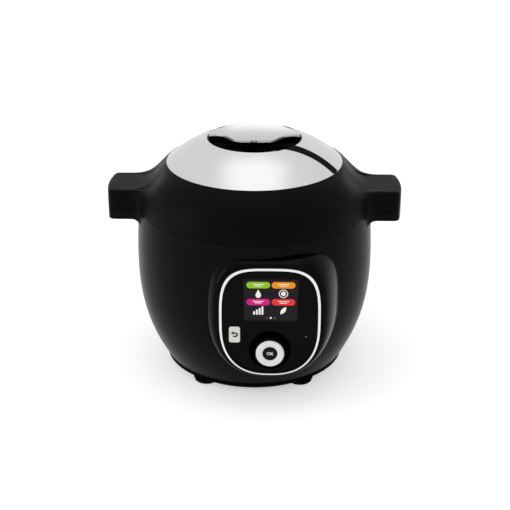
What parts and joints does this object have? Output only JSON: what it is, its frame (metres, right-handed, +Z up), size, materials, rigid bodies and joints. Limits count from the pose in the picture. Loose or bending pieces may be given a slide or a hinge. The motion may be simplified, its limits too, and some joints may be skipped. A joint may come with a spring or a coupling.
{
  "type": "electric pressure cooker",
  "caption": "Electric pressure cooker with a hinged bayonet lid, twist grip, removable bowl, side handles and front control panel.",
  "frame": {"origin": "on the supporting surface, on the bowl's axis", "axes": "+X to the right seen from the front, +Y towards the hinge at the rear, +Z up"},
  "size_m": [0.3846, 0.3497, 0.3248],
  "materials": {
    "body_plastic": "black moulded plastic, low gloss",
    "collar_plastic": "black moulded plastic, satin",
    "tray_plastic": "black glass-filled plastic, matt",
    "rubber": "matt",
    "steel": "brushed",
    "galvanised": "rolled sheet",
    "bowl_coating": "non-stick coating, satin",
    "cast_alloy": "die cast",
    "element_steel": "matt",
    "spring_steel": "bright",
    "ceramic": "matt",
    "circuit_board": "solder resist",
    "clear_plastic": "clear, smoked",
    "contact_brass": "plain",
    "gloss_black": "high gloss",
    "satin_silver": "satin",
    "panel_grey": "satin",
    "display_glass": "clear, dark",
    "button_black": "satin",
    "button_grey": "satin",
    "light_lens": "diffuse lens",
    "dome_metal": "satin bright",
    "recess_black": "semi-gloss",
    "silicone": "satin"
  },
  "bodies": {
    "base": {"outer_shell": "body_plastic", "base_tray": "tray_plastic", "rubber_feet": "rubber", "upper_rim": "body_plastic", "bayonet_ring": "steel", "inner_well": "galvanised", "cooking_bowl": "bowl_coating", "heating_plate": "cast_alloy", "heater_element": "element_steel", "sensor_spring": "spring_steel", "sensor_bracket": "galvanised", "thermal_cutout": "ceramic", "power_board": "circuit_board", "base_screws": "spring_steel", "rear_spine": "body_plastic", "hinge_pin": "spring_steel", "hinge_spring": "spring_steel", "drain_spout": "body_plastic", "power_inlet": "tray_plastic", "inlet_pins": "contact_brass", "panel_housing": "gloss_black", "panel_ring": "satin_silver", "panel_face": "panel_grey", "display_window": "display_glass", "display_module": "element_steel", "control_board": "circuit_board", "knob_dish": "gloss_black", "rotary_encoder": "element_steel", "status_light": "light_lens"},
    "lock": {"grip_cap": "dome_metal", "grip_core": "recess_black", "lock_spindle": "steel", "locking_plate": "steel"},
    "lid": {"lid_collar": "collar_plastic", "lid_inner_cover": "body_plastic", "lid_frame": "galvanised", "lid_hinge_arm": "collar_plastic", "lid_screws": "spring_steel", "dome": "dome_metal", "dome_support": "body_plastic", "marker_strip": "gloss_black", "recess_cup": "recess_black", "steam_duct": "tray_plastic", "carrier_posts": "steel", "lid_carrier": "cast_alloy", "pressure_lid": "steel", "lid_gasket": "silicone", "valve_seat": "contact_brass", "valve_cover": "tray_plastic", "ball_cage": "steel", "ball_cover": "tray_plastic"},
    "sensor": {"temperature_sensor": "cast_alloy"},
    "cup": {"condensate_cup": "clear_plastic"},
    "knob": {"knob": "satin_silver"},
    "ok_button": {"ok_button": "button_black"},
    "return_button": {"return_button": "button_grey"},
    "nut": {"centre_nut": "tray_plastic"},
    "steam_valve": {"steam_valve": "tray_plastic"},
    "ball": {"decompression_ball": "steel"},
    "safety_valve": {"safety_valve": "contact_brass"}
  },
  "joints": [
    {"name": "lid_hinge", "type": "hinge", "parent": "base", "child": "lid", "pos_m": [0, 0.1599, 0.236], "axis": [-1, 0, 0], "range_deg": [0, 85]},
    {"name": "lid_lock", "type": "hinge", "parent": "lid", "child": "lock", "pos_m": [0, 0, 0.228], "axis": [0, 0, 1], "range_deg": [0, 30]},
    {"name": "knob_turn", "type": "hinge", "parent": "base", "child": "knob", "pos_m": [0.0229, -0.162, 0.0877], "axis": [0, -1, 0], "continuous": true},
    {"name": "ok_press", "type": "slide", "parent": "knob", "child": "ok_button", "axis": [0, 1, 0], "range_m": [0, 0.0009], "stiffness_N_per_m": 400, "springref_m": -0.001},
    {"name": "return_press", "type": "slide", "parent": "base", "child": "return_button", "axis": [0, 1, 0], "range_m": [0, 0.0005], "stiffness_N_per_m": 400, "springref_m": -0.001},
    {"name": "sensor_press", "type": "slide", "parent": "base", "child": "sensor", "axis": [0, 0, -1], "range_m": [0, 0.003], "stiffness_N_per_m": 400, "springref_m": -0.002, "deforming": ["sensor_spring"]},
    {"name": "condensate_cup_slide", "type": "slide", "parent": "base", "child": "cup", "axis": [0, 1, 0], "range_m": [0, 0.045]},
    {"name": "lid_nut_turn", "type": "hinge", "parent": "lid", "child": "nut", "pos_m": [0, 0, 0.21], "axis": [0, 0, 1], "range_deg": [0, 90]},
    {"name": "steam_valve_lift", "type": "slide", "parent": "lid", "child": "steam_valve", "axis": [0, 0, 1], "range_m": [0, 0.006]},
    {"name": "float_ball_lift", "type": "slide", "parent": "lid", "child": "ball", "axis": [0, 0, 1], "range_m": [0, 0.006]},
    {"name": "safety_valve_lift", "type": "slide", "parent": "lid", "child": "safety_valve", "axis": [0, 0, 1], "range_m": [0, 0.002], "stiffness_N_per_m": 400, "springref_m": -0.003}
  ]
}
